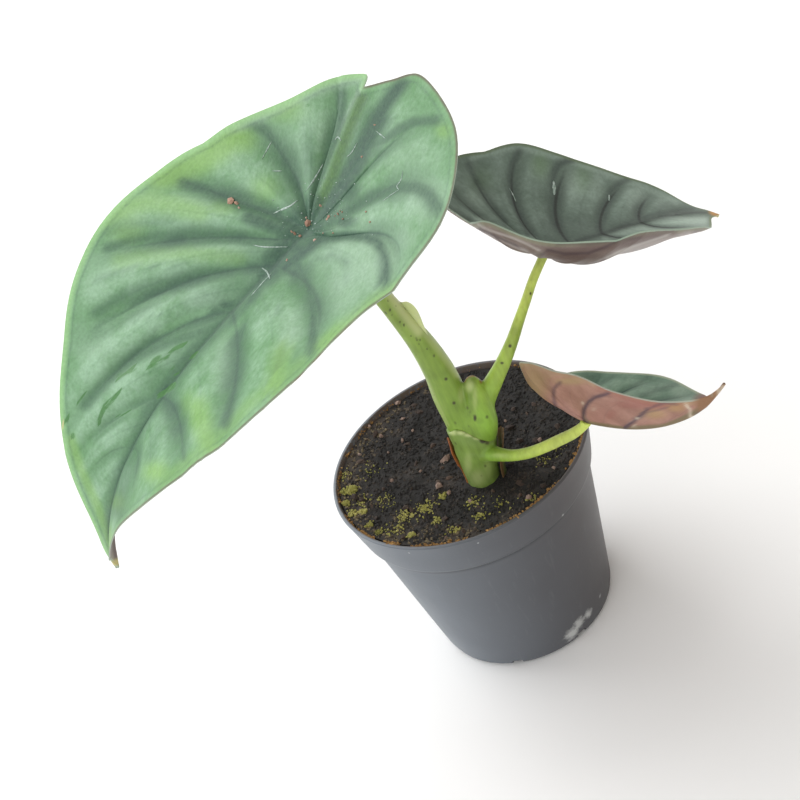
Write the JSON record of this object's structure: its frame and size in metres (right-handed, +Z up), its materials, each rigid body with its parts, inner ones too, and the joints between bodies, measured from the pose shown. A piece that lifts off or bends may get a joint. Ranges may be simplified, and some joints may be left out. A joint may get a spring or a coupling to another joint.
{
  "type": "potted alocasia plant",
  "caption": "Young silver-leaved alocasia with quilted shield-shaped leaves on green stalks, standing in soil in a round nursery pot.",
  "frame": {"origin": "centre of the pot's flat base, on the surface it stands on", "axes": "+Z up along the pot's axis, -Y towards the viewer of the picture, +X to the right"},
  "size_m": [0.1473, 0.0908, 0.1364],
  "materials": {
    "pot_plastic": "satin",
    "soil": "matte",
    "corm": "matte",
    "stalk": "satin",
    "dry_sheath": "matte",
    "leaf_silver": "satin",
    "leaf_grey": "satin"
  },
  "bodies": {
    "root": {"pot": "pot_plastic", "soil": "soil", "corm": "corm", "petiole_large": "stalk", "petiole_middle": "stalk", "petiole_small": "stalk", "old_sheath_left": "dry_sheath", "old_sheath_right": "dry_sheath", "blade_large": "leaf_silver", "blade_middle": "leaf_grey", "blade_small": "leaf_grey"}
  },
  "joints": []
}
